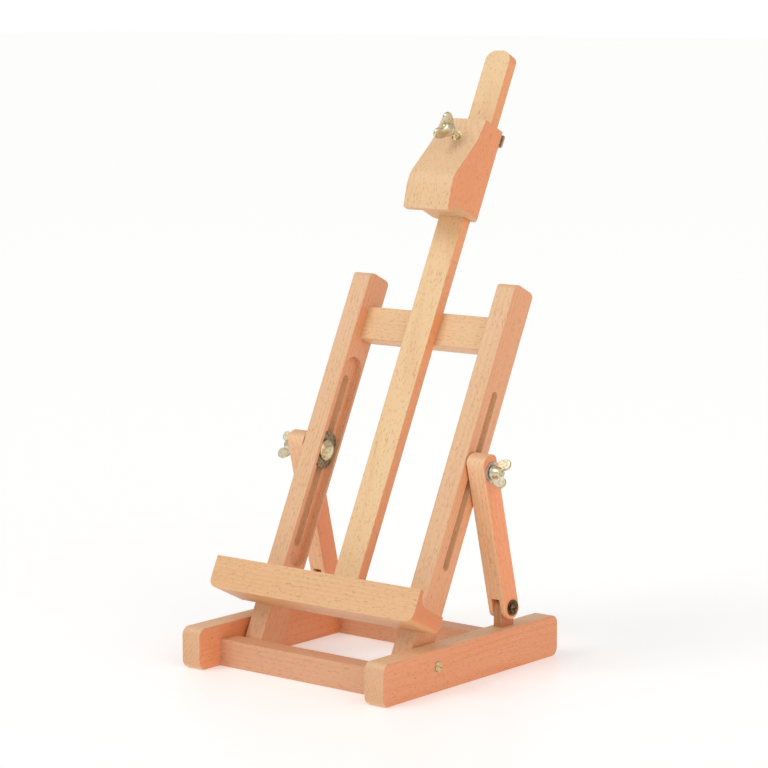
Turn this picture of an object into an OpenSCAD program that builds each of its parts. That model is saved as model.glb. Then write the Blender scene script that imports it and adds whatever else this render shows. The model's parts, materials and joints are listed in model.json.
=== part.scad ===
// Tabletop artist easel. It stands on the plane Z = 0 with its front towards -Y, and the
// origin is under the middle of the whole easel. The frame leans back on its foot screws
// and is held by two struts whose bolts slide in the uprights.

/* [Base] */
// Width over both side rails
base_w = 226; // [180:1:320]
// Length of a side rail, front to back
rail_l = 246; // [225:1:340]
// Thickness of a side rail
rail_t = 20; // [16:1:30]
// Height of a side rail
rail_h = 37; // [33:1:50]
// Corner radius of a rail, in side view
rail_r = 8; // [2:0.5:12]
// Thickness of a base crossbar, front to back
crossbar_t = 20; // [14:1:24]
// Height of a base crossbar
crossbar_h = 24; // [20:1:26]
// From the front of the rails to the front crossbar
front_bar_inset = 27; // [12:1:28]
// From the back of the rails to the rear crossbar
rear_bar_inset = 37; // [12:1:38]
// Diameter of a crossbar dowel
dowel_d = 6; // [4:0.5:8]
// Depth of a dowel in the rail and in the crossbar
dowel_depth = 11; // [8:1:14]
// From the lower and upper edge of a crossbar to its dowels
dowel_inset = 6.5; // [5:0.5:8]

/* [Foot pivot] */
// From the front of the rails to the foot pivot
pivot_inset = 74; // [70:1:90]
// Height of the foot pivot
pivot_h = 22; // [20:0.5:26]
// Gap between an upright and its rail
foot_gap = 1.5; // [1.2:0.1:3]
// Thickness of the spacer washer in that gap
foot_washer_t = 0.9; // [0.5:0.1:1]
// Diameter of the spacer washer
foot_washer_d = 15; // [12:0.5:18]
// Length of an upright below its pivot
foot_l = 16; // [12:1:18]
// Corner radius at the foot of an upright
foot_r = 9; // [6:0.5:12]
// Diameter of a foot screw
foot_screw_d = 5; // [4:0.5:6]
// Diameter of a foot screw's head
foot_head_d = 9; // [8:0.5:12]
// Depth that a foot screw goes into its upright
foot_screw_grip = 15; // [10:1:18]

/* [Frame] */
// Angle of the frame above the floor, in degrees
tilt = 64; // [58:1:68]
// Width of an upright, seen from the front
upright_w = 20; // [17:1:26]
// Depth of an upright, front to back
upright_d = 29; // [27:1:36]
// Length of an upright above its pivot
upright_l = 341; // [325:1:420]
// Corner radius at the ends of an upright
upright_r = 6; // [2:0.5:10]
// Easing of the long edges of the bars
bar_edge = 1.2; // [0.4:0.1:2.5]
// Lower end of the slot, from the pivot
slot_from = 82; // [70:1:110]
// Upper end of the slot, from the pivot
slot_to = 245; // [245:1:260]
// Width of the slot
slot_w = 8; // [8:0.2:10]
// Width of the groove around the slot
groove_w = 23; // [23:0.5:25]
// Depth of the groove around the slot
groove_depth = 5; // [5:0.5:8]
// How far the groove runs past each end of the slot
groove_over = 18; // [17:1:24]

/* [Crossbar and mast] */
// Height of the top crossbar
top_bar_h = 31; // [24:1:36]
// Thickness of the top crossbar
top_bar_t = 16; // [12:1:17]
// Middle of the top crossbar, from the pivot
top_bar_s = 296; // [290:1:300]
// Length of a tenon of the top crossbar
tenon_l = 10; // [6:1:12]
// Shoulder around a tenon
tenon_shoulder = 3.5; // [2:0.5:4]
// Width of the mast
mast_w = 28; // [22:1:36]
// Thickness of the mast
mast_t = 11.5; // [9:0.5:14]
// Top of the mast, from the pivot
mast_to = 562; // [560:1:680]
// Corner radius at the top of the mast
mast_r = 11; // [3:0.5:11]
// Diameter of the screws that hold mast and tray
wood_screw_d = 4; // [3:0.5:5]
// Depth of a mast screw in the mast
mast_screw_depth = 7; // [5:0.5:8]

/* [Canvas tray] */
// Width of the tray
tray_w = 229; // [200:1:300]
// Depth of the tray, front to back
tray_d = 40; // [34:1:48]
// Height of the tray at its lip
tray_h = 29; // [26:1:34]
// Bottom of the tray, from the pivot
tray_s = 23.5; // [22:0.5:30]
// Height of the shelf that the canvas stands on
shelf_h = 16; // [15:0.5:18]
// Thickness of the lip
lip_t = 5; // [4:0.5:8]
// Radius of the cove between lip and shelf
cove_r = 10; // [3:0.5:10]
// Radius of the tray's lower corners
tray_r = 8; // [2:0.5:12]
// From the bottom of the tray up to the end of the mast
mast_over_tray = 2.5; // [1:0.5:4]
// Depth of a tray screw in the tray
tray_screw_depth = 13; // [10:1:18]

/* [Struts] */
// Thickness of a strut, seen from the front
strut_w = 18.5; // [16:0.5:19]
// Depth of a strut, front to back
strut_d = 20; // [18:0.5:22]
// Gap between a strut and its upright
strut_gap = 1; // [0.6:0.1:2]
// From the foot pivot back to the hinge screw
hinge_behind = 107; // [106:0.5:112]
// Height of the hinge screw above the rail
hinge_above = 17; // [16:0.5:19]
// Place of the slot bolt along the upright, from the pivot
bolt_s = 173.5; // [168:0.5:174]
// Length of a strut past its slot bolt
strut_over = 15.5; // [10:0.5:20]
// Thickness of the tongue that a strut's fork straddles
tongue_t = 8; // [5:0.5:9]
// Depth of the tongue, front to back
tongue_d = 18; // [12:1:19]
// Depth of the tongue in the rail
tongue_grip = 14; // [8:1:16]
// Gap on each side of the tongue in the fork
fork_gap = 0.4; // [0.3:0.1:0.6]
// Depth of the fork above the hinge screw
fork_over = 11; // [10.5:0.5:20]
// Diameter of a hinge screw
hinge_screw_d = 5; // [4:0.5:6]
// Diameter of a hinge screw's domed head
hinge_head_d = 10; // [8:0.5:13]
// Height of a hinge screw's head
hinge_head_h = 3; // [2:0.25:4]
// Diameter of the washer under a hinge screw's head
hinge_washer_d = 14; // [12:0.5:17]

/* [Canvas clamp] */
// Width of the clamp block
clamp_w = 50; // [46:1:66]
// Bottom of the clamp block, from the pivot
clamp_s = 399; // [398:1:430]
// Height of the clamp block above its bottom
clamp_h = 86; // [74:1:104]
// Reach of the block in front of the mast's back, at its top
clamp_top_reach = 33; // [28:1:38]
// Reach of the block at the lower end of its top face
clamp_neck_reach = 36.5; // [34:0.5:39]
// Reach of the lip at its lower edge
clamp_low_reach = 49.5; // [48:0.5:60]
// How far the lip hangs below the bottom
clamp_lip_h = 8; // [4:0.5:10]
// Thickness of the clamp's lip
clamp_lip_t = 5.5; // [4:0.5:8]
// Height of the flat face at the top of the block
clamp_face_h = 22; // [18:1:28]
// Radius of the hollow below that face
clamp_neck_r = 60; // [20:5:60]
// How far the block swells in front of its lip
clamp_belly = 4.5; // [0.5:0.5:6]
// Lower end of the swell, above the bottom of the block
clamp_belly_from = 13; // [4:1:14]
// Upper end of the swell
clamp_belly_to = 24; // [24:1:40]
// Radius at both ends of the swell
clamp_belly_r = 24; // [6:1:24]
// Bevel along the back edges of the block
clamp_bevel = 6; // [2:0.5:7]
// From the top of the block down to its screw
clamp_screw_drop = 18; // [14:0.5:20]
// Gap between the block and the wings of its screw
clamp_stand_off = 12; // [3:0.5:12]
// Angle that the wings of the clamp screw are turned to
clamp_wing_turn = 72; // [0:1:179]
// Diameter of the threaded bush
insert_d = 10; // [9:0.5:12]
// Length of the threaded bush
insert_l = 12; // [8:0.5:12]
// Sliding gap around the mast
slide_gap = 0.4; // [0.3:0.05:0.6]
// Thickness of the keeper plate
keeper_t = 1.5; // [1:0.1:2.5]
// Height of the keeper plate
keeper_h = 12; // [8:1:30]
// From the top of the block down to the keeper plate
keeper_drop = 1; // [1:0.5:8]
// From the sides of the block to the keeper plate
keeper_margin = 1.5; // [0.5:0.5:3]
// Diameter of a keeper screw
keeper_screw_d = 2.5; // [2:0.25:3]
// Diameter of a keeper screw's head
keeper_head_d = 5.5; // [5:0.25:7]
// Wood on each side of a keeper screw
keeper_screw_wall = 0.9; // [0.5:0.1:1.2]
// Height of a keeper screw's head
keeper_head_h = 1.8; // [1.6:0.1:2.4]
// Length of a keeper screw in the block
keeper_screw_l = 10; // [6:1:14]

/* [Hardware] */
// Diameter of a slot bolt and of the clamp screw
bolt_d = 5; // [4:0.5:5]
// Diameter of a slot bolt's domed head
bolt_head_d = 19; // [14:0.5:19]
// Height of a slot bolt's head
bolt_head_h = 4; // [3:0.5:5]
// Length of a slide plate
plate_l = 34; // [24:1:36]
// Width of a slide plate
plate_w = 20; // [16:0.5:20]
// Thickness of a slide plate
plate_t = 1.5; // [1:0.1:2]
// Diameter of a large washer
washer_d = 18; // [14:0.5:19]
// Thickness of a large washer
washer_t = 1.2; // [0.8:0.1:2]
// Span of a wing nut over its wings
wing_span = 26; // [24:1:36]
// Height of a wing nut
wing_h = 16; // [10:0.5:16]
// Thickness of a wing
wing_t = 3; // [2:0.25:4]
// Radius of the round end of a wing
lobe_r = 4.8; // [3:0.1:5]
// Diameter of a wing nut's boss at its foot
boss_d = 13; // [11:0.5:15]
// Diameter of the boss at its top
boss_top_d = 9.5; // [8:0.5:11]
// Height of the boss
boss_h = 9.4; // [7:0.2:10]
// Height of the straight rim of the boss
boss_rim = 2; // [1:0.5:3]
// Length of bolt that shows past the boss of its wing nut
bolt_show = 1; // [1:0.5:6]
// Gap between turning faces
face_gap = 0.3; // [0.3:0.05:0.5]
// Running fit of a pin in its bore, across the diameter
running_fit = 0.1; // [0.06:0.02:0.16]

/* [Hidden] */
$fn = 64;
eps = 0.01;

beech = "burlywood";
beech_dark = "peru";
brass = "goldenrod";
bronze = "saddlebrown";
steel = "silver";

// Planes across the easel, on its right-hand side
rail_out = base_w / 2;
rail_in = rail_out - rail_t;
frame_out = rail_in - foot_gap;
frame_in = frame_out - upright_w;
strut_in = frame_out + strut_gap;
strut_out = strut_in + strut_w;
strut_mid = (strut_in + strut_out) / 2;
groove_floor = frame_in + groove_depth;

// Frame: y grows towards the back of the bars, z along them
bar_front = -upright_d / 2;
bar_back = upright_d / 2;
mast_front = bar_front;
mast_back = mast_front + mast_t;
top_bar_back = mast_back + top_bar_t;
tray_front = bar_front - tray_d;
mast_from = tray_s + mast_over_tray;
tray_screw_s = tray_s + shelf_h / 2;
head_d = 2 * wood_screw_d;
head_sink = 3;

// Base and foot pivot. The easel is as deep as its rails, or as the leaning mast reaches.
mast_reach = pivot_inset + mast_to * cos(tilt) + mast_back * sin(tilt);
rail_front = -max(rail_l, mast_reach) / 2;
rail_back = rail_front + rail_l;
front_bar_y = rail_front + front_bar_inset;
rear_bar_y = rail_back - rear_bar_inset - crossbar_t;
pivot_y = rail_front + pivot_inset;
dowel_zs = [dowel_inset, crossbar_h - dowel_inset];
foot_head_t = 2;
foot_head_sink = 1.7;
driver_w = 1;
driver_depth = 1;

// Strut: its length and angle follow from the hinge and the bolt
hinge_y = pivot_y + hinge_behind;
hinge_z = rail_h + hinge_above;
bolt_y = pivot_y + bolt_s * cos(tilt);
bolt_z = pivot_h + bolt_s * sin(tilt);
strut_l = norm([bolt_y - hinge_y, bolt_z - hinge_z]);
strut_angle = atan2(bolt_z - hinge_z, bolt_y - hinge_y);
fork_w = tongue_t + 2 * fork_gap;

// Canvas clamp
clamp_back = mast_back + slide_gap;
clamp_top = clamp_s + clamp_h;
clamp_screw_s = clamp_top - clamp_screw_drop;
keeper_s = clamp_top - keeper_drop - keeper_h;
keeper_r = 2;
clamp_front = mast_back - clamp_low_reach - clamp_belly;
clamp_face_lean = (clamp_neck_reach - clamp_top_reach) / clamp_face_h;
clamp_screw_face = mast_back - clamp_top_reach - clamp_face_lean * clamp_screw_drop;
insert_margin = 0.1;
insert_front = clamp_screw_face + abs(clamp_face_lean) * insert_d / 2 + insert_margin;

// The bevel leaves the keeper's screws their wood beside the mast
channel_half = mast_w / 2 + slide_gap;
keeper_land = keeper_screw_d + 2 * keeper_screw_wall;
bevel = min(clamp_bevel, clamp_w / 2 - channel_half - keeper_land);
keeper_screw_x = (channel_half + clamp_w / 2 - bevel) / 2;

// Lower edge of the wings, above the foot of the boss
wing_foot = 0.8;

// Slot bolt, from its head in the groove to its end past the wing nut
plate_out = groove_floor - face_gap;
plate_in = plate_out - plate_t;
head_out = plate_in - face_gap;
plate_r = plate_w / 2 - 1;
nut_in = strut_out + washer_t + face_gap;
bolt_end = nut_in + boss_h + bolt_show;

// ---- placing ----

// Right-hand pieces are drawn as they are, left-hand ones mirrored
module on_side(side) {
    if (side < 0) mirror([1, 0, 0]) children();
    else children();
}

// Frame coordinates: origin at the foot pivot, z up along the uprights
module in_frame() {
    translate([0, pivot_y, pivot_h]) rotate([tilt - 90, 0, 0]) children();
}

// Strut coordinates: origin at the hinge screw, z along the strut
module in_strut() {
    translate([0, hinge_y, hinge_z]) rotate([strut_angle - 90, 0, 0]) children();
}

// Slot bolt coordinates: origin on the bolt's axis, z along the upright
module at_bolt() {
    in_frame() translate([0, 0, bolt_s]) children();
}

// Outline in y and z, from x = from to x = to
module along_x(from, to) {
    translate([from, 0, 0]) rotate([90, 0, 90]) linear_extrude(to - from) children();
}

// Outline in x and z, from y = from to y = to
module along_y(from, to) {
    translate([0, to, 0]) rotate([90, 0, 0]) linear_extrude(to - from) children();
}

// Round bar along x, y or z
module pin_x(from, to, d) {
    translate([from, 0, 0]) rotate([0, 90, 0]) cylinder(d = d, h = to - from);
}

module pin_y(from, to, d) {
    translate([0, to, 0]) rotate([90, 0, 0]) cylinder(d = d, h = to - from);
}

// ---- outlines ----

// Rectangle between two corners, with its own radius at the low and the high end
module rounded(low, high, r_low, r_high) {
    translate([low.x, low.y + r_low])
        square([high.x - low.x, high.y - low.y - r_low - r_high]);
    translate([low.x + r_low, low.y]) square([high.x - low.x - 2 * r_low, r_low + eps]);
    translate([low.x + r_high, high.y - r_high - eps])
        square([high.x - low.x - 2 * r_high, r_high + eps]);
    for (x = [low.x + r_low, high.x - r_low])
        translate([x, low.y + r_low]) circle(r_low);
    for (x = [low.x + r_high, high.x - r_high])
        translate([x, high.y - r_high]) circle(r_high);
}

// Slot with round ends along the second axis
module slot_outline(from, to, w) {
    translate([-w / 2, from + w / 2]) square([w, to - from - w]);
    translate([0, from + w / 2]) circle(d = w);
    translate([0, to - w / 2]) circle(d = w);
}

// ---- base ----

module crossbar_dowel_holes(y, from, to) {
    for (z = dowel_zs)
        translate([0, y + crossbar_t / 2, z]) pin_x(from, to, dowel_d);
}

module tongue_outline() {
    translate([hinge_y - tongue_d / 2, rail_h - tongue_grip])
        square([tongue_d, tongue_grip + hinge_above]);
    translate([hinge_y, hinge_z]) circle(d = tongue_d);
}

module side_rail(side) {
    color(beech)
    on_side(side)
    difference() {
        intersection() {
            along_x(rail_in, rail_out)
                rounded([rail_front, 0], [rail_back, rail_h], rail_r, rail_r);
            along_y(rail_front, rail_back)
                rounded([rail_in, 0], [rail_out, rail_h], bar_edge, bar_edge);
        }
        for (y = [front_bar_y, rear_bar_y])
            crossbar_dowel_holes(y, rail_in - 1, rail_in + dowel_depth);
        along_x(strut_mid - tongue_t / 2, strut_mid + tongue_t / 2) tongue_outline();
        translate([0, pivot_y, pivot_h]) {
            pin_x(rail_in - 1, rail_out + 1, foot_screw_d + running_fit);
            pin_x(rail_out - foot_head_sink - face_gap, rail_out + 1, foot_head_d + 2 * face_gap);
        }
    }
}

module base_crossbar(y) {
    color(beech)
    difference() {
        along_x(-rail_in, rail_in)
            rounded([y, 0], [y + crossbar_t, crossbar_h], bar_edge, bar_edge);
        for (side = [-1, 1])
            on_side(side) crossbar_dowel_holes(y, rail_in - dowel_depth, rail_in + 1);
    }
}

module crossbar_dowels(y) {
    color(beech_dark)
    for (side = [-1, 1])
        on_side(side) crossbar_dowel_holes(y, rail_in - dowel_depth, rail_in + dowel_depth);
}

module strut_tongue(side) {
    color(beech_dark)
    on_side(side)
    difference() {
        along_x(strut_mid - tongue_t / 2, strut_mid + tongue_t / 2) tongue_outline();
        translate([0, hinge_y, hinge_z])
            pin_x(strut_in, strut_out, hinge_screw_d + running_fit);
    }
}

module foot_washer(side) {
    color(steel)
    on_side(side)
    translate([0, pivot_y, pivot_h])
    difference() {
        pin_x(rail_in - foot_washer_t, rail_in, foot_washer_d);
        pin_x(rail_in - foot_washer_t - 1, rail_in + 1, foot_screw_d + 2 * face_gap);
    }
}

// ---- frame ----

module upright(side) {
    color(beech)
    in_frame() on_side(side)
    difference() {
        intersection() {
            along_x(frame_in, frame_out)
                rounded([bar_front, -foot_l], [bar_back, upright_l], foot_r, upright_r);
            translate([0, 0, -foot_l]) linear_extrude(foot_l + upright_l)
                rounded([frame_in, bar_front], [frame_out, bar_back], bar_edge, bar_edge);
        }
        along_x(frame_in - 1, frame_out + 1) slot_outline(slot_from, slot_to, slot_w);
        along_x(frame_in - 1, groove_floor)
            slot_outline(slot_from - groove_over, slot_to + groove_over, groove_w);
        top_bar_tenon();
        pin_x(frame_out - foot_screw_grip, frame_out + 1, foot_screw_d);
        tray_screw_at(frame_in + upright_w / 2, bar_back);
    }
}

module top_bar_tenon() {
    translate([frame_in - eps, mast_back + tenon_shoulder,
               top_bar_s - top_bar_h / 2 + tenon_shoulder])
        cube([tenon_l + eps, top_bar_t - 2 * tenon_shoulder, top_bar_h - 2 * tenon_shoulder]);
}

module mast_screw_at(x) {
    translate([x, 0, top_bar_s]) {
        pin_y(mast_back - mast_screw_depth, top_bar_back, wood_screw_d);
        pin_y(top_bar_back - head_sink, top_bar_back, head_d);
    }
}

module tray_screw_at(x, back) {
    translate([x, 0, tray_screw_s]) {
        pin_y(bar_front - tray_screw_depth, back, wood_screw_d);
        pin_y(back - head_sink, back, head_d);
    }
}

module top_crossbar() {
    color(beech)
    in_frame()
    difference() {
        union() {
            along_x(-frame_in, frame_in)
                rounded([mast_back, top_bar_s - top_bar_h / 2],
                        [top_bar_back, top_bar_s + top_bar_h / 2], bar_edge, bar_edge);
            for (side = [-1, 1]) on_side(side) top_bar_tenon();
        }
        for (x = [-mast_w / 4, mast_w / 4]) mast_screw_at(x);
    }
}

module mast() {
    color(beech)
    in_frame()
    difference() {
        intersection() {
            along_y(mast_front, mast_back)
                rounded([-mast_w / 2, mast_from], [mast_w / 2, mast_to], bar_edge, mast_r);
            translate([0, 0, mast_from]) linear_extrude(mast_to - mast_from)
                rounded([-mast_w / 2, mast_front], [mast_w / 2, mast_back], bar_edge, bar_edge);
        }
        for (x = [-mast_w / 4, mast_w / 4]) mast_screw_at(x);
        tray_screw_at(0, mast_back);
    }
}

// The tray's section: a lip in front, a cove, then the shelf at the back
module tray_section() {
    difference() {
        translate([tray_front, tray_s]) square([tray_d, tray_h]);
        translate([tray_front + lip_t, tray_s + shelf_h + cove_r]) square([tray_d, tray_h]);
        translate([tray_front + lip_t + cove_r, tray_s + shelf_h]) square([tray_d, tray_h]);
        translate([tray_front + lip_t + cove_r, tray_s + shelf_h + cove_r]) circle(cove_r);
    }
}

module canvas_tray() {
    color(beech)
    in_frame()
    difference() {
        intersection() {
            along_x(-tray_w / 2, tray_w / 2) tray_section();
            along_y(tray_front, bar_front)
                rounded([-tray_w / 2, tray_s], [tray_w / 2, tray_s + tray_h], tray_r, bar_edge);
        }
        tray_screw_at(0, mast_back);
        for (side = [-1, 1]) on_side(side) tray_screw_at(frame_in + upright_w / 2, bar_back);
    }
}

module foot_screw(side) {
    color(brass)
    in_frame() on_side(side)
    difference() {
        union() {
            pin_x(frame_out - foot_screw_grip, rail_out, foot_screw_d);
            pin_x(rail_out - foot_head_sink, rail_out - foot_head_sink + foot_head_t, foot_head_d);
        }
        translate([rail_out - foot_head_sink + foot_head_t - driver_depth,
                   -foot_head_d, -driver_w / 2])
            cube([foot_head_t, 2 * foot_head_d, driver_w]);
    }
}

// Screw heads carry a plain straight slot
module driver_slot_y(back) {
    translate([-head_d, back - driver_depth, -driver_w / 2])
        cube([2 * head_d, 2 * driver_depth, driver_w]);
}

module mast_screws() {
    color(steel)
    in_frame()
    for (x = [-mast_w / 4, mast_w / 4])
        difference() {
            mast_screw_at(x);
            translate([x, 0, top_bar_s]) driver_slot_y(top_bar_back);
        }
}

module tray_screw(x, back) {
    difference() {
        tray_screw_at(x, back);
        translate([x, 0, tray_screw_s]) driver_slot_y(back);
    }
}

module tray_screws() {
    color(steel)
    in_frame() {
        tray_screw(0, mast_back);
        for (side = [-1, 1]) on_side(side) tray_screw(frame_in + upright_w / 2, bar_back);
    }
}

// ---- struts ----

module strut(side) {
    color(beech)
    on_side(side) in_strut()
    difference() {
        intersection() {
            along_x(strut_in, strut_out)
                rounded([-strut_d / 2, -strut_d / 2], [strut_d / 2, strut_l + strut_over],
                        strut_d / 2 - eps, strut_d / 2 - 1);
            translate([0, 0, -strut_d / 2]) linear_extrude(strut_l + strut_over + strut_d / 2)
                rounded([strut_in, -strut_d / 2], [strut_out, strut_d / 2], bar_edge, bar_edge);
        }
        translate([strut_mid - fork_w / 2, -strut_d, -strut_d])
            cube([fork_w, 2 * strut_d, strut_d + fork_over]);
        pin_x(strut_in - 1, strut_out + 1, hinge_screw_d);
        translate([0, 0, strut_l]) pin_x(strut_in - 1, strut_out + 1, bolt_d);
    }
}

module hinge_screw(side) {
    color(bronze)
    on_side(side) in_strut()
    difference() {
        union() {
            pin_x(strut_in, strut_out + washer_t, hinge_screw_d);
            translate([strut_out + washer_t, 0, 0]) rotate([0, 90, 0]) dome(hinge_head_d, hinge_head_h);
        }
        translate([strut_out + washer_t + hinge_head_h - driver_depth, -hinge_head_d, -driver_w / 2])
            cube([hinge_head_h, 2 * hinge_head_d, driver_w]);
    }
}

module hinge_washer(side) {
    color(bronze)
    on_side(side) in_strut()
        ring_x(strut_out, strut_out + washer_t, hinge_washer_d, hinge_screw_d);
}

// Flat ring along x
module ring_x(from, to, d, bore) {
    difference() {
        pin_x(from, to, d);
        pin_x(from - 1, to + 1, bore);
    }
}

// Low dome standing on z = 0, d across and h high, with a short straight rim
module dome(d, h) {
    rim = h * 0.25;
    rise = h - rim;
    ball = (pow(d / 2, 2) + pow(rise, 2)) / (2 * rise);
    rotate_extrude() {
        square([d / 2, rim]);
        intersection() {
            translate([0, h - ball]) circle(ball, $fn = 180);
            translate([0, rim - eps]) square([d / 2, rise + 1]);
        }
    }
}

module slot_bolt(side) {
    color(brass)
    on_side(side) at_bolt() {
        pin_x(head_out - eps, bolt_end, bolt_d);
        translate([head_out, 0, 0]) rotate([0, -90, 0]) dome(bolt_head_d, bolt_head_h);
    }
}

module strut_washer(side) {
    color(steel)
    on_side(side) at_bolt() ring_x(strut_out, strut_out + washer_t, washer_d, bolt_d);
}

// Oblong plate between a bolt's head and the floor of its groove
module slide_plate(side) {
    color(steel)
    on_side(side) at_bolt()
    difference() {
        along_x(plate_in, plate_out)
            rounded([-plate_w / 2, -plate_l / 2], [plate_w / 2, plate_l / 2],
                    plate_r, plate_r);
        pin_x(plate_in - 1, plate_out + 1, bolt_d + running_fit);
    }
}

// One wing: a rounded lobe on a neck that runs into the boss
module wing_outline() {
    tip = [wing_span / 2 - lobe_r, wing_h - lobe_r];
    root = bolt_d / 2 - 0.5;
    translate(tip) circle(lobe_r);
    polygon([
        [root, wing_foot],
        [root + 2.5, wing_foot],
        [tip.x + lobe_r * 0.75, tip.y - lobe_r * 0.66],
        [tip.x - lobe_r * 0.5, tip.y + lobe_r * 0.86],
        [root, boss_h - boss_rim]
    ]);
}

// Wing head standing on z = 0, with its wings along y
module wing_head() {
    cylinder(d = boss_d, h = boss_rim);
    translate([0, 0, boss_rim - eps])
        cylinder(d1 = boss_d, d2 = boss_top_d, h = boss_h - boss_rim);
    for (turn = [90, -90])
        rotate([0, 0, turn]) rotate([90, 0, 0])
        translate([0, 0, -wing_t / 2]) linear_extrude(wing_t) wing_outline();
}

module wing_nut(side) {
    color(brass)
    on_side(side) at_bolt()
        translate([nut_in, 0, 0]) rotate([0, 90, 0]) rotate([0, 0, 90])
        difference() {
            wing_head();
            translate([0, 0, -1]) cylinder(d = bolt_d + running_fit, h = wing_h + 2);
        }
}

// ---- canvas clamp ----

// Arc of radius r that rounds the corner b of the outline a, b, c
function unit(v) = v / norm(v);
function half_angle(a, b, c) = acos(unit(a - b) * unit(c - b)) / 2;
function arc_start(a, b, c, r) = b + unit(a - b) * r / tan(half_angle(a, b, c));
function arc_centre(a, b, c, r) =
    b + unit(unit(a - b) + unit(c - b)) * r / sin(half_angle(a, b, c));

// Sector of the disc under that arc, which fills the cut-off corner
module arc_sector(a, b, c, r) {
    centre = arc_centre(a, b, c, r);
    intersection() {
        translate(centre) circle(r, $fn = 360);
        polygon([centre, arc_start(a, b, c, r), b + unit(b - centre) * r, arc_start(c, b, a, r)]);
    }
}

// Side view of the block: a flat face, a hollow sweep to the round swell, then the lip
module clamp_section() {
    low_front = mast_back - clamp_low_reach;
    lip_back = low_front + clamp_lip_t;
    top = [mast_back - clamp_top_reach, clamp_top];
    neck = [mast_back - clamp_neck_reach, clamp_top - clamp_face_h];
    swell_to = [clamp_front, clamp_s + clamp_belly_to];
    swell_from = [clamp_front, clamp_s + clamp_belly_from];
    low = [low_front, clamp_s - clamp_lip_h];
    difference() {
        polygon([
            [clamp_back, clamp_s], [clamp_back, clamp_top], top,
            arc_start(top, neck, swell_to, clamp_neck_r),
            arc_start(swell_to, neck, top, clamp_neck_r),
            arc_start(neck, swell_to, swell_from, clamp_belly_r),
            arc_start(swell_from, swell_to, neck, clamp_belly_r),
            arc_start(swell_to, swell_from, low, clamp_belly_r),
            arc_start(low, swell_from, swell_to, clamp_belly_r),
            low, [lip_back, low.y], [lip_back, clamp_s]
        ]);
        translate(arc_centre(top, neck, swell_to, clamp_neck_r)) circle(clamp_neck_r, $fn = 360);
    }
    arc_sector(neck, swell_to, swell_from, clamp_belly_r);
    arc_sector(swell_to, swell_from, low, clamp_belly_r);
}

// View of the block along the mast, with its back edges bevelled
module clamp_plan() {
    half = clamp_w / 2;
    polygon([
        [-half, clamp_front - 1], [half, clamp_front - 1], [half, clamp_back - bevel],
        [half - bevel, clamp_back], [-half + bevel, clamp_back], [-half, clamp_back - bevel]
    ]);
}

module clamp_block() {
    lip_end = clamp_s - clamp_lip_h;
    color(beech)
    in_frame()
    difference() {
        intersection() {
            along_x(-clamp_w / 2, clamp_w / 2) clamp_section();
            translate([0, 0, lip_end - 1]) linear_extrude(clamp_top - lip_end + 2) clamp_plan();
            along_y(clamp_front - 1, clamp_back + 1)
                rounded([-clamp_w / 2, lip_end], [clamp_w / 2, clamp_top], bar_edge, bar_edge);
        }
        translate([-channel_half, mast_front - slide_gap, lip_end - 1])
            cube([2 * channel_half, mast_t + 3 * slide_gap, clamp_top - lip_end + 2]);
        translate([0, 0, clamp_screw_s]) {
            pin_y(clamp_front, mast_front, bolt_d + 4 * face_gap);
            pin_y(clamp_front, insert_front + insert_l, insert_d);
        }
        keeper_screw_holes();
    }
}

module keeper_screw_holes() {
    for (x = [-keeper_screw_x, keeper_screw_x])
        translate([x, 0, keeper_s + keeper_h / 2])
            pin_y(clamp_back - keeper_screw_l, clamp_back + keeper_t, keeper_screw_d);
}

module keeper_plate() {
    color(steel)
    in_frame()
    difference() {
        along_y(clamp_back, clamp_back + keeper_t)
            rounded([-clamp_w / 2 + keeper_margin, keeper_s],
                    [clamp_w / 2 - keeper_margin, keeper_s + keeper_h], keeper_r, keeper_r);
        keeper_screw_holes();
    }
}

module keeper_screws() {
    color(brass)
    in_frame() {
        keeper_screw_holes();
        for (x = [-keeper_screw_x, keeper_screw_x])
            translate([x, clamp_back + keeper_t, keeper_s + keeper_h / 2])
            difference() {
                rotate([-90, 0, 0]) dome(keeper_head_d, keeper_head_h);
                translate([-keeper_head_d, keeper_head_h - driver_depth, -driver_w / 2])
                    cube([2 * keeper_head_d, keeper_head_h, driver_w]);
            }
    }
}

// Threaded bush, sunk a little below the block's front face
module clamp_insert() {
    color(brass)
    in_frame() translate([0, 0, clamp_screw_s])
    difference() {
        pin_y(insert_front, insert_front + insert_l, insert_d);
        pin_y(insert_front - 1, insert_front + insert_l + 1, bolt_d + running_fit);
    }
}

// Screw with a wing head, whose tip bears on the mast
module clamp_wing_screw() {
    head_y = clamp_screw_face - clamp_stand_off;
    color(brass)
    in_frame() translate([0, 0, clamp_screw_s]) {
        pin_y(head_y - boss_h - bolt_show, mast_front - slide_gap, bolt_d);
        translate([0, head_y, 0]) rotate([90, 0, 0]) rotate([0, 0, clamp_wing_turn])
            wing_head();
    }
}

side_rail(-1);  // side_rail_left
side_rail(1);  // side_rail_right
base_crossbar(front_bar_y);  // front_crossbar
base_crossbar(rear_bar_y);  // rear_crossbar
crossbar_dowels(front_bar_y);  // front_crossbar_dowels
crossbar_dowels(rear_bar_y);  // rear_crossbar_dowels
strut_tongue(-1);  // strut_tongue_left
strut_tongue(1);  // strut_tongue_right
foot_washer(-1);  // foot_washer_left
foot_washer(1);  // foot_washer_right
upright(-1);  // upright_left
upright(1);  // upright_right
top_crossbar();
mast();
canvas_tray();
foot_screw(-1);  // foot_screw_left
foot_screw(1);  // foot_screw_right
mast_screws();
tray_screws();
strut(-1);  // strut_left
strut(1);  // strut_right
hinge_screw(-1);  // hinge_screw_left
hinge_screw(1);  // hinge_screw_right
hinge_washer(-1);  // hinge_washer_left
hinge_washer(1);  // hinge_washer_right
slot_bolt(-1);  // slot_bolt_left
slot_bolt(1);  // slot_bolt_right
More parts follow.
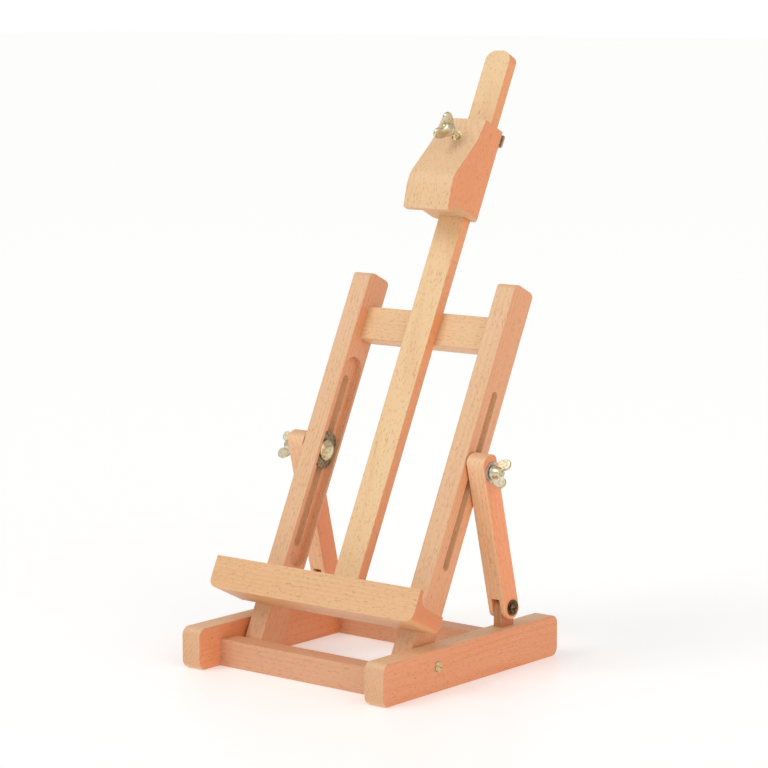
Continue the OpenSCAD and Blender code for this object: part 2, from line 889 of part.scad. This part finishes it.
strut_washer(-1);  // strut_washer_left
strut_washer(1);  // strut_washer_right
slide_plate(-1);  // slide_plate_left
slide_plate(1);  // slide_plate_right
wing_nut(-1);  // wing_nut_left
wing_nut(1);  // wing_nut_right
clamp_block();
keeper_plate();
keeper_screws();
clamp_insert();
clamp_wing_screw();
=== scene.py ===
"""Looks of the tabletop artist easel: oiled beech, cast wing nuts, threaded bolts and a pale studio."""

import json
import math

import bmesh
import bpy
from mathutils import Matrix, Vector


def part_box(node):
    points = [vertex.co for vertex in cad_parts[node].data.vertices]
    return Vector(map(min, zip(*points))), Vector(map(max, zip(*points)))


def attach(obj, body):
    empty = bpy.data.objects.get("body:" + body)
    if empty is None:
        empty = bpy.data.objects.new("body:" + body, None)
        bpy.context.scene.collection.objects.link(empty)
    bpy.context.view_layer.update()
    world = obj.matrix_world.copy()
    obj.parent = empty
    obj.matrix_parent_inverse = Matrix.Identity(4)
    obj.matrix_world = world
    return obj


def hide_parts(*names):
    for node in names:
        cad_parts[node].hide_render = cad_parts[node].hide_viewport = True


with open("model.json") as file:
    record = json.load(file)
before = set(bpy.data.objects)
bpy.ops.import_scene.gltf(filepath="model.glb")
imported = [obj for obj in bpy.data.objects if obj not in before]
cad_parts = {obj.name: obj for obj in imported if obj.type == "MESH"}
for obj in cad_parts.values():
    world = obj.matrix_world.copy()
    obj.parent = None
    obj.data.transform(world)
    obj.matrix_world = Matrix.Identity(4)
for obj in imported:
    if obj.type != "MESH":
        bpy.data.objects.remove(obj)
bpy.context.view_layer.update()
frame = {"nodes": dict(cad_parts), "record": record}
nodes = frame["nodes"]
joints = {j["name"]: j for j in frame["record"]["behaviour"]["joints"]}

MM = 0.001
X, Y, Z = Vector((1, 0, 0)), Vector((0, 1, 0)), Vector((0, 0, 1))

# Directions and axes of the easel, from its joints
UP = Vector(joints["clamp_slide"]["axis"]).normalized()
FORWARD = Vector(joints["clamp_screw_spin"]["axis"]).normalized()
HINGE = Vector(joints["strut_right_swing"]["pos_m"])
BOLT = Vector(joints["wing_nut_right_spin"]["pos_m"])
CLAMP_SCREW = Vector(joints["clamp_screw_spin"]["pos_m"])
STRUT = (BOLT - HINGE) - X * (BOLT - HINGE).x
STRUT.normalize()


def linear(r, g, b):
    """A colour given in 0-255 screen values, as the shader's linear values."""
    out = []
    for v in (r, g, b):
        v /= 255
        out.append(v / 12.92 if v <= 0.04045 else ((v + 0.055) / 1.055) ** 2.4)
    return (*out, 1.0)


# ---- materials ----


class Graph:
    """A material with short calls for the nodes that it is made of."""

    def __init__(self, name):
        self.mat = bpy.data.materials.new(name)
        self.mat.use_nodes = True
        self.tree = self.mat.node_tree
        self.tree.nodes.clear()
        self.out = self.tree.nodes.new("ShaderNodeOutputMaterial")
        self.shader = self.tree.nodes.new("ShaderNodeBsdfPrincipled")
        self.tree.links.new(self.shader.outputs[0], self.out.inputs["Surface"])
        self.coords = self.tree.nodes.new("ShaderNodeTexCoord")

    def node(self, kind, inputs=None, **props):
        n = self.tree.nodes.new(kind)
        for key, value in props.items():
            setattr(n, key, value)
        for key, value in (inputs or {}).items():
            self.put(n, key, value)
        return n

    def put(self, n, key, value):
        if isinstance(value, bpy.types.NodeSocket):
            self.tree.links.new(value, n.inputs[key])
        else:
            n.inputs[key].default_value = value

    def math(self, operation, a, b=0.0, clamp=False):
        n = self.node("ShaderNodeMath", {0: a, 1: b}, operation=operation, use_clamp=clamp)
        return n.outputs[0]

    def vec(self, operation, a, b=(0, 0, 0)):
        n = self.node("ShaderNodeVectorMath", {0: a, 1: b}, operation=operation)
        return n.outputs["Value" if operation in ("DOT_PRODUCT", "LENGTH") else "Vector"]

    def noise(self, vector, stretch, detail=3.0, rough=0.5):
        """Noise with its own scale on each axis: a larger stretch gives finer noise."""
        at = self.vec("MULTIPLY", vector, stretch)
        settings = {"Vector": at, "Scale": 1.0, "Detail": detail, "Roughness": rough}
        return self.node("ShaderNodeTexNoise", settings)

    def step(self, value, low, high, to_low=0.0, to_high=1.0):
        """value eased from low..high to to_low..to_high."""
        n = self.node("ShaderNodeMapRange", {"Value": value, "From Min": low, "From Max": high,
                                             "To Min": to_low, "To Max": to_high},
                      interpolation_type="SMOOTHSTEP")
        return n.outputs[0]

    def mix(self, factor, a, b, blend="MIX"):
        n = self.node("ShaderNodeMix", {0: factor, 6: a, 7: b}, data_type="RGBA", blend_type=blend)
        return n.outputs[2]

    def edges(self, radius, low, high):
        """1 on the edges, 0 on the faces."""
        rounded = self.node("ShaderNodeBevel", {"Radius": radius}, samples=4)
        flat = self.node("ShaderNodeNewGeometry")
        same = self.vec("DOT_PRODUCT", rounded.outputs[0], flat.outputs["Normal"])
        return self.step(self.math("SUBTRACT", 1.0, same), low, high)

    def bump(self, height, distance, strength, under=None):
        inputs = {"Height": height, "Distance": distance, "Strength": strength}
        if under is not None:
            inputs["Normal"] = under
        return self.node("ShaderNodeBump", inputs).outputs[0]

    def set(self, **inputs):
        for key, value in inputs.items():
            self.put(self.shader, key.replace("_", " "), value)


def middle(name):
    """Middle of a CAD node's box."""
    low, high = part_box(name)
    return (low + high) / 2


def axes_matrix(along):
    """Columns are the directions across, through and along a bar."""
    across = X if abs(along.x) < 0.5 else Y
    through = along.cross(across).normalized()
    across = through.cross(along).normalized()
    return Matrix((across, through, along)).transposed()


RING_WIDTH = 3.4 * MM
RING_WAVER = 17 * MM
WORN_WOOD = 1.6 * MM
WORN_METAL = 0.5 * MM
TOOL_MARK = 0.35 * MM

PALE = linear(236, 196, 154)
WARM = linear(226, 170, 122)
# SIDE_SHADE is painted shade for the sides of the bars: a darker, warmer orange for the faces that look
# along x
SIDE_SHADE = linear(255, 151, 78)
FLECK = linear(164, 104, 66)
END = linear(198, 136, 92)
RUBBED = linear(246, 218, 182)


def beech(name, node, along, pith, light=PALE, dark=WARM, slant=(0.012, -0.02, 0.0), deep=0.55):
    """Oiled beech. Its grain runs along a bar, and pith is where the middle of its tree lies, in metres
    across and through the bar. deep is how much painted shade darkens and warms the sides, the faces along
    x, against the front and back."""
    g = Graph(name)
    turn = axes_matrix(along) @ Matrix.Rotation(slant[0], 3, "X") @ Matrix.Rotation(slant[1], 3, "Y")
    place = g.node("ShaderNodeMapping", {"Vector": g.coords.outputs["Object"], "Location": middle(node),
                                         "Rotation": turn.to_euler()}, vector_type="TEXTURE").outputs[0]
    # Growth rings round the pith, wavering along the bar
    waver = g.noise(place, (9, 9, 2.2), 2.0)
    waver = g.vec("SUBTRACT", waver.outputs[1], (0.5, 0.5, 0.5))
    shift = g.vec("MULTIPLY", waver, (RING_WAVER, RING_WAVER, 0.0))
    flat = g.vec("MULTIPLY", g.vec("ADD", g.vec("SUBTRACT", place, (*pith, 0.0)), shift), (1, 1, 0))
    ring = g.math("FRACT", g.math("MULTIPLY", g.vec("LENGTH", flat), 1 / RING_WIDTH))
    late = g.math("ADD", g.step(ring, 0.55, 0.93), g.step(ring, 0.0, 0.10, 1.0, 0.0), clamp=True)
    late = g.math("MULTIPLY", late, g.step(g.noise(place, (60, 60, 5)).outputs[0], 0.35, 0.65, 0.25, 1.0))
    # Fibres, broad colour changes and the short dark flecks of beech
    fibre = g.noise(place, (900, 900, 22), 4.0, 0.6).outputs[0]
    broad = g.noise(place, (26, 26, 5), 2.0).outputs[0]
    spots = g.noise(place, (1050, 1050, 230), 1.0).outputs[0]
    flecks = g.step(spots, 0.60, 0.70)
    pores = g.step(g.noise(place, (2600, 2600, 240), 1.0).outputs[0], 0.58, 0.72)

    tone = g.math("ADD", g.math("MULTIPLY", late, 0.40), g.math("MULTIPLY", broad, 0.55))
    tone = g.math("ADD", tone, g.math("MULTIPLY", g.math("SUBTRACT", fibre, 0.5), 0.55), clamp=True)
    colour = g.mix(tone, light, dark)
    normal = g.coords.outputs["Normal"]
    sideways = g.math("ABSOLUTE", g.vec("DOT_PRODUCT", normal, tuple(X)))
    # Painted shade: faces that look along x are multiplied towards SIDE_SHADE, darker and warmer, as the
    # shade on the sides
    colour = g.mix(g.step(sideways, 0.4, 0.9, 0.0, deep), colour, SIDE_SHADE, "MULTIPLY")
    colour = g.mix(g.math("MULTIPLY", flecks, 0.42), colour, FLECK)
    colour = g.mix(g.math("MULTIPLY", pores, 0.16), colour, FLECK)
    # End grain drinks more oil, and edges are rubbed paler
    on_end = g.step(g.math("ABSOLUTE", g.vec("DOT_PRODUCT", normal, tuple(along))), 0.70, 0.95)
    colour = g.mix(g.math("MULTIPLY", on_end, 0.18), colour, END, "MULTIPLY")
    worn = g.edges(WORN_WOOD, 0.02, 0.30)
    patchy = g.step(g.noise(g.coords.outputs["Object"], (90, 90, 90)).outputs[0], 0.35, 0.62)
    colour = g.mix(g.math("MULTIPLY", g.math("MULTIPLY", worn, patchy), 0.30), colour, RUBBED)

    rough = g.math("ADD", g.math("MULTIPLY", fibre, 0.16), g.math("MULTIPLY", broad, 0.10))
    rough = g.math("ADD", rough, g.math("MULTIPLY", on_end, 0.14))
    height = g.math("SUBTRACT", g.math("MULTIPLY", fibre, 0.6), g.math("ADD", flecks, pores))
    g.set(Base_Color=colour, Roughness=g.math("ADD", rough, 0.32), Coat_Weight=0.08, Coat_Roughness=0.35,
          Normal=g.bump(height, 0.00006, 0.35))
    return g.mat


def metal(name, bright, dull, rough=0.24, grime=0.5, cast=0.0, turned=None, axis=X):
    """Plated metal with dull patches and rubbed edges. cast is how pebbly it is, and turned is the middle
    of the tool marks that run round it."""
    g = Graph(name)
    at = g.coords.outputs["Object"]
    patches = g.step(g.noise(at, (420, 420, 420), 4.0, 0.6).outputs[0], 0.42, 0.66)
    colour = g.mix(g.math("MULTIPLY", patches, grime), bright, dull)
    worn = g.edges(WORN_METAL, 0.01, 0.25)
    colour = g.mix(g.math("MULTIPLY", worn, 0.6), colour, bright)
    fine = g.noise(at, (2600, 2600, 2600), 3.0).outputs[0]
    roughness = g.math("ADD", g.math("MULTIPLY", patches, 0.18), g.math("MULTIPLY", fine, 0.12))
    normal = g.bump(fine, 0.00004, 0.12 + cast)
    if cast:
        normal = g.bump(g.noise(at, (700, 700, 700), 2.0).outputs[0], 0.00025, cast, normal)
    if turned is not None:
        offset = g.vec("SUBTRACT", at, tuple(turned))
        along = g.vec("DOT_PRODUCT", offset, tuple(axis))
        on_axis = g.node("ShaderNodeVectorMath", {0: tuple(axis), "Scale": along}, operation="SCALE")
        from_axis = g.vec("LENGTH", g.vec("SUBTRACT", offset, on_axis.outputs[0]))
        rings = g.math("SINE", g.math("MULTIPLY", from_axis, 2 * math.pi / TOOL_MARK))
        normal = g.bump(rings, 0.00002, 0.25, normal)
    g.set(Base_Color=colour, Metallic=1.0, Roughness=g.math("ADD", roughness, rough), Normal=normal)
    return g.mat


def paint(material, *names):
    """The CAD nodes of these names get the material in every slot."""
    for name in names:
        mesh_object = nodes[name]
        for slot in mesh_object.material_slots:
            slot.link = "OBJECT"
            slot.material = material
        if not mesh_object.material_slots:
            mesh_object.data.materials.append(material)


# What the beech of some bars changes from beech()'s own values
CROSSBAR = {"light": linear(224, 172, 132), "dark": linear(216, 151, 113)}
UPRIGHT = {"deep": 0.36}
TOP_BAR = {"light": linear(240, 200, 152), "dark": linear(230, 182, 132)}
MAST = {"light": linear(242, 208, 158), "dark": linear(234, 188, 138)}
TRAY = {"light": linear(235, 188, 139), "dark": linear(225, 170, 120)}
STRUT_BAR = {"light": linear(248, 206, 162), "dark": linear(238, 180, 130), "deep": 0.6}
CLAMP = {"light": linear(240, 203, 157), "dark": linear(232, 184, 138), "deep": 0.62,
         "slant": (0.05, -0.06, 0.0)}
TONGUE = {"light": linear(206, 158, 112), "dark": linear(176, 122, 80)}

# Every bar is cut from its own board: node, grain direction, the place of its pith and its changes
BARS = [
    ("side_rail_left", Y, (0.050, 0.034), {}),
    ("side_rail_right", Y, (-0.061, 0.028), {}),
    ("front_crossbar", X, (0.030, 0.055), CROSSBAR),
    ("rear_crossbar", X, (-0.036, 0.047), CROSSBAR),
    ("upright_left", UP, (0.046, -0.038), UPRIGHT),
    ("upright_right", UP, (-0.040, 0.052), UPRIGHT),
    ("top_crossbar", X, (0.041, 0.036), TOP_BAR),
    ("mast", UP, (0.012, 0.075), MAST),
    ("canvas_tray", X, (0.048, 0.060), TRAY),
    ("strut_left", STRUT, (0.037, 0.043), STRUT_BAR),
    ("strut_right", STRUT, (-0.048, 0.030), STRUT_BAR),
    ("clamp_block", UP, (0.058, 0.070), CLAMP),
    ("strut_tongue_left", Z, (0.020, 0.030), TONGUE),
    ("strut_tongue_right", Z, (0.024, 0.026), TONGUE),
]
for node, along, pith, changes in BARS:
    paint(beech(f"beech_{node}", node, along, pith, **changes), node)
paint(beech("beech_dowels", "front_crossbar_dowels", X, (0.01, 0.02), dark=linear(190, 136, 90)),
      "front_crossbar_dowels", "rear_crossbar_dowels")

BRASS = linear(226, 212, 170)
BRASS_DULL = linear(150, 128, 84)
STEEL = linear(206, 206, 202)
STEEL_DULL = linear(132, 128, 120)
BRONZE = linear(118, 92, 62)
BRONZE_DULL = linear(52, 38, 26)

brass_bolt = metal("brass_bolt", BRASS, BRASS_DULL, 0.20, turned=BOLT)
brass_cast = metal("brass_cast", linear(222, 212, 184), BRASS_DULL, 0.26, 0.45, cast=0.25)
brass_foot = metal("brass_foot", linear(220, 196, 146), BRASS_DULL, 0.28)
steel = metal("zinc_steel", STEEL, STEEL_DULL, 0.30, turned=BOLT)
steel_plain = metal("zinc_plain", STEEL, STEEL_DULL, 0.32)
plate = metal("browned_plate", linear(158, 136, 108), linear(92, 74, 56), 0.36, 0.7)
bronze = metal("dark_bronze", BRONZE, BRONZE_DULL, 0.34, 0.85)

paint(brass_foot, "foot_screw_left", "foot_screw_right", "keeper_screws", "clamp_insert")
paint(steel, "strut_washer_left", "strut_washer_right")
paint(plate, "slide_plate_left", "slide_plate_right")
paint(steel_plain, "mast_screws", "tray_screws", "keeper_plate", "foot_washer_left", "foot_washer_right")
paint(bronze, "hinge_screw_left", "hinge_screw_right", "hinge_washer_left", "hinge_washer_right")


# ---- hardware in mesh code: local z is the bolt's axis, outwards ----

# Bolts: BORE_GAP is between a bolt and its nut, THREAD_LEAD is how far the thread starts before the nut, and
# BEARING_GAP is left under a head or a nut
BOLT_R = 2.5 * MM
BORE_GAP = 0.05 * MM
PITCH = 0.8 * MM
THREAD_DEPTH = 0.54 * PITCH
THREAD_LEAD = 4 * MM
BEARING_GAP = 0.3 * MM
RIM_SHARE = 0.25

# Cast wings: WING_THINS is how much thinner they are at their tips, and CAST_DETAIL is the size of a voxel
WING_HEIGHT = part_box("wing_nut_right")[1].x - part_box("wing_nut_right")[0].x
WING_SPAN = 26 * MM
WING_THICK = 3.5 * MM
WING_THINS = 0.9 * MM
LOBE_R = 4.85 * MM
BOSS_HEIGHT = 9.4 * MM
CAST_DETAIL = 0.32 * MM

# How far the clamp's bolt shows past its boss, how far its wings stand off and how they are turned at rest
BOLT_SHOW = 1 * MM
STAND_OFF = 12 * MM
WING_TURN = math.radians(72)


def link_mesh(name, bm, material, smooth=True):
    """Turns a bmesh into an object of the scene, with one material."""
    mesh = bpy.data.meshes.new(name)
    bm.normal_update()
    bm.to_mesh(mesh)
    bm.free()
    for polygon in mesh.polygons:
        polygon.use_smooth = smooth
    made = bpy.data.objects.new(name, mesh)
    made.data.materials.append(material)
    bpy.context.scene.collection.objects.link(made)
    return made


def lathe(bm, profile, steps=72):
    """Closed surface of revolution round z. profile is (radius, height) from one pole to the other."""
    rings = []
    for radius, height in profile:
        if radius < 1e-9:
            rings.append([bm.verts.new((0, 0, height))])
        else:
            rings.append([bm.verts.new((radius * math.cos(2 * math.pi * i / steps),
                                        radius * math.sin(2 * math.pi * i / steps), height))
                          for i in range(steps)])
    for a, b in zip(rings, rings[1:]):
        for i in range(steps):
            corners = [a[i % len(a)], a[(i + 1) % len(a)], b[(i + 1) % len(b)], b[i % len(b)]]
            corners = list(dict.fromkeys(corners))
            bm.faces.new(corners)


def dome_profile(radius, height, rim, rows=14):
    """A carriage bolt's head standing on z = 0, from its rounded rim to the crown."""
    rise = height - rim
    ball = (radius ** 2 + rise ** 2) / (2 * rise)
    ease = rim * 0.45
    points = [(0, 0), (radius - ease, 0)]
    points += [(radius - ease + ease * math.sin(a), ease - ease * math.cos(a))
               for a in (math.pi / 6, math.pi / 3, math.pi / 2)]
    start = math.asin(radius / ball)
    for i in range(rows + 1):
        a = start * (1 - i / rows)
        points.append((ball * math.sin(a) if i < rows else 0.0, height - ball + ball * math.cos(a)))
    return points


def threaded_rod(bm, low, high, plain_to):
    """Rod from low to high, with a rolled thread above plain_to and a chamfered end."""
    around, per_turn = 48, 10
    crest, flank = 0.12, 0.70
    rows = int((high - low) / PITCH * per_turn)
    grid = []
    for j in range(rows + 1):
        z = low + (high - low) * j / rows
        row = []
        for i in range(around):
            phase = (z / PITCH - i / around) % 1.0
            cut = 1 - abs(2 * phase - 1)
            cut = min(max((cut - crest) / flank, 0.0), 1.0) * THREAD_DEPTH
            cut *= min(max((z - plain_to) / PITCH, 0.0), 1.0)
            chamfer = max(0.0, PITCH - (high - z)) * 0.8
            r = BOLT_R - max(cut, chamfer)
            a = 2 * math.pi * i / around
            row.append(bm.verts.new((r * math.cos(a), r * math.sin(a), z)))
        grid.append(row)
    for a, b in zip(grid, grid[1:]):
        for i in range(around):
            bm.faces.new((a[i], a[(i + 1) % around], b[(i + 1) % around], b[i]))
    bm.faces.new(list(reversed(grid[0])))
    bm.faces.new(grid[-1])


def plate_shape(bm, outline, thickness_at):
    """Closed plate round y = 0 over an outline in x and z. thickness_at gives its thickness at a point."""
    sides = []
    for sign in (-1, 1):
        sides.append([bm.verts.new((x, sign * thickness_at(x, z) / 2, z)) for x, z in outline])
    count = len(outline)
    bm.faces.new(sides[0])
    bm.faces.new(list(reversed(sides[1])))
    for i in range(count):
        j = (i + 1) % count
        bm.faces.new((sides[0][j], sides[0][i], sides[1][i], sides[1][j]))


def wing_outline(sign):
    """One cast ear: a broad neck that rises into a round lobe."""
    lobe_x, lobe_z = WING_SPAN / 2 - LOBE_R, WING_HEIGHT - LOBE_R
    points = [(1.5 * MM, 1.0 * MM), (5.5 * MM, 0.8 * MM), (8.6 * MM, 2.6 * MM), (11.0 * MM, 5.6 * MM)]
    for degrees in range(-30, 181, 15):
        a = math.radians(degrees)
        points.append((lobe_x + LOBE_R * math.cos(a), lobe_z + LOBE_R * math.sin(a)))
    points.append((1.5 * MM, 7.6 * MM))
    return [(sign * x, z) for x, z in points]


def apply_modifiers(made):
    """Bakes an object's modifiers into its mesh."""
    graph = bpy.context.evaluated_depsgraph_get()
    mesh = bpy.data.meshes.new_from_object(made.evaluated_get(graph))
    made.modifiers.clear()
    made.data = mesh
    for polygon in mesh.polygons:
        polygon.use_smooth = True


def wing_thickness(x, z):
    """A wing thins evenly from the boss to its tip."""
    return WING_THICK - WING_THINS * min(abs(x) / (WING_SPAN / 2), 1.0)


def wing_casting(name, bore, material):
    """Wing head on z = 0 with its ears along x, fused and softened as a casting is. With a bore of 0 it
    stays solid."""
    bm = bmesh.new()
    lathe(bm, [(0, 0), (6.2 * MM, 0), (6.5 * MM, 0.4 * MM), (6.5 * MM, 1.8 * MM), (5.9 * MM, 2.6 * MM),
               (5.0 * MM, 8.4 * MM), (4.6 * MM, BOSS_HEIGHT - 0.2 * MM), (0, BOSS_HEIGHT)])
    for sign in (-1, 1):
        outline = wing_outline(sign)
        if sign < 0:
            outline.reverse()
        plate_shape(bm, outline, wing_thickness)
    bmesh.ops.recalc_face_normals(bm, faces=bm.faces)
    made = link_mesh(name, bm, material)
    remesh = made.modifiers.new("fuse", "REMESH")
    remesh.mode, remesh.voxel_size = "VOXEL", CAST_DETAIL
    soften = made.modifiers.new("soften", "SMOOTH")
    soften.factor, soften.iterations = 0.5, 7
    apply_modifiers(made)
    if bore:
        cutter_mesh = bmesh.new()
        below, above = -1 * MM, WING_HEIGHT + 2 * MM
        lathe(cutter_mesh, [(0, below), (bore, below), (bore, above), (0, above)], 48)
        cutter = link_mesh("cutter", cutter_mesh, material)
        cut = made.modifiers.new("bore", "BOOLEAN")
        cut.object, cut.operation, cut.solver = cutter, "DIFFERENCE", "EXACT"
        apply_modifiers(made)
        bpy.data.objects.remove(cutter)
    return made


def place(made, origin, outwards, wings=UP):
    """Moves a piece's vertices so that its z points outwards and its x along the wings."""
    side = wings - outwards * wings.dot(outwards)
    side.normalize()
    turn = Matrix((side, outwards.cross(side), outwards)).transposed().to_4x4()
    made.data.transform(Matrix.Translation(origin) @ turn)
    made.data.update()


def reach(node, direction):
    """Where a CAD node begins and ends along X or -X, as distances from the middle plane."""
    low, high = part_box(node)
    return (low.x, high.x) if direction > 0 else (-high.x, -low.x)


for side, sign in (("left", -1), ("right", 1)):
    out = X * sign
    axis = Vector((0, BOLT.y, BOLT.z))
    crown, end = reach(f"slot_bolt_{side}", sign)
    head_face = reach(f"slide_plate_{side}", sign)[0] - BEARING_GAP
    nut_foot = reach(f"strut_washer_{side}", sign)[1] + BEARING_GAP

    bm = bmesh.new()
    low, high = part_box(f"slot_bolt_{side}")
    head_height = head_face - crown
    profile = dome_profile((high.y - low.y) / 2, head_height, head_height * RIM_SHARE)
    lathe(bm, [(r, -z) for r, z in profile])
    threaded_rod(bm, 0.0, end - head_face, nut_foot - head_face - THREAD_LEAD)
    bmesh.ops.recalc_face_normals(bm, faces=bm.faces)
    bolt = link_mesh(f"carriage_bolt_{side}", bm, brass_bolt)
    place(bolt, axis + out * head_face, out)
    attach(bolt, f"strut_{side}")
    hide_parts(f"slot_bolt_{side}")

    nut = wing_casting(f"cast_wing_nut_{side}", BOLT_R + BORE_GAP, brass_cast)
    place(nut, axis + out * nut_foot, out)
    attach(nut, f"wing_nut_{side}")
    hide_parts(f"wing_nut_{side}")

# The clamp's screw: a threaded shank with a cast wing head
head = wing_casting("cast_clamp_wings", 0.0, brass_cast)
wings = Matrix.Rotation(WING_TURN, 3, FORWARD) @ X
place(head, CLAMP_SCREW + FORWARD * STAND_OFF, FORWARD, wings)
bm = bmesh.new()
tip_side = min((Vector(v.co) - CLAMP_SCREW).dot(FORWARD) for v in nodes["clamp_wing_screw"].data.vertices)
outer_end = STAND_OFF + BOSS_HEIGHT + BOLT_SHOW
threaded_rod(bm, 0.0, outer_end - tip_side, 0.0)
bmesh.ops.recalc_face_normals(bm, faces=bm.faces)
shank = link_mesh("clamp_screw_shank", bm, brass_bolt)
place(shank, CLAMP_SCREW + FORWARD * tip_side, FORWARD, wings)
for piece in (head, shank):
    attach(piece, "clamp_screw")
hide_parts("clamp_wing_screw")


# ---- studio ----


SUN_COLOUR = (1.0, 0.99, 0.97)
ROOM_LIGHT, ROOM_SEEN = 0.58, 1.05
PAPER_GLOW = 0.26
FLOOR_HALF = 30
CAMERA_PLACE = (1.51888, -1.88918, 0.58446)
CAMERA_TILT, CAMERA_TURN = math.radians(81.997), math.radians(39.075)
CAMERA_LENS, CAMERA_SENSOR = 130.1, 36


def soft_sun(name, azimuth, elevation, strength, softness):
    """Even light from far off, with its angles in degrees. Azimuth 0 is the front and 90 the right."""
    lamp = bpy.data.lights.new(name, "SUN")
    lamp.energy, lamp.angle, lamp.color = strength, math.radians(softness), SUN_COLOUR
    made = bpy.data.objects.new(name, lamp)
    bpy.context.scene.collection.objects.link(made)
    a, e = math.radians(azimuth), math.radians(elevation)
    towards = Vector((math.sin(a) * math.cos(e), -math.cos(a) * math.cos(e), math.sin(e)))
    made.rotation_euler = towards.to_track_quat("Z", "Y").to_euler()


soft_sun("key", -28, 48, 0.85, 32)
soft_sun("fill", 75, 25, 0.6, 50)

# The room is white where it is seen, and dimmer as a light
world = bpy.data.worlds.new("studio")
world.use_nodes = True
tree = world.node_tree
background = tree.nodes["Background"]
background.inputs["Color"].default_value = (1, 1, 1, 1)
seen = tree.nodes.new("ShaderNodeLightPath")
level = tree.nodes.new("ShaderNodeMapRange")
tree.links.new(seen.outputs["Is Camera Ray"], level.inputs["Value"])
level.inputs["To Min"].default_value = ROOM_LIGHT
level.inputs["To Max"].default_value = ROOM_SEEN
tree.links.new(level.outputs[0], background.inputs["Strength"])
bpy.context.scene.world = world

paper = Graph("studio_paper")
speck = paper.noise(paper.coords.outputs["Object"], (40, 40, 40), 4.0).outputs[0]
paper.set(Base_Color=paper.mix(speck, (0.90, 0.90, 0.90, 1), (0.93, 0.93, 0.925, 1)), Roughness=0.38,
          Emission_Color=(1.0, 1.0, 1.0, 1.0), Emission_Strength=PAPER_GLOW)
bm = bmesh.new()
bmesh.ops.create_grid(bm, x_segments=1, y_segments=1, size=FLOOR_HALF)
floor = link_mesh("floor", bm, paper.mat, False)

bpy.context.scene.view_settings.view_transform = "Standard"

camera_data = bpy.data.cameras.new("camera")
camera_data.lens, camera_data.sensor_width = CAMERA_LENS, CAMERA_SENSOR
camera = bpy.data.objects.new("camera", camera_data)
bpy.context.scene.collection.objects.link(camera)
camera.location = CAMERA_PLACE
camera.rotation_euler = (CAMERA_TILT, 0, CAMERA_TURN)
bpy.context.scene.camera = camera
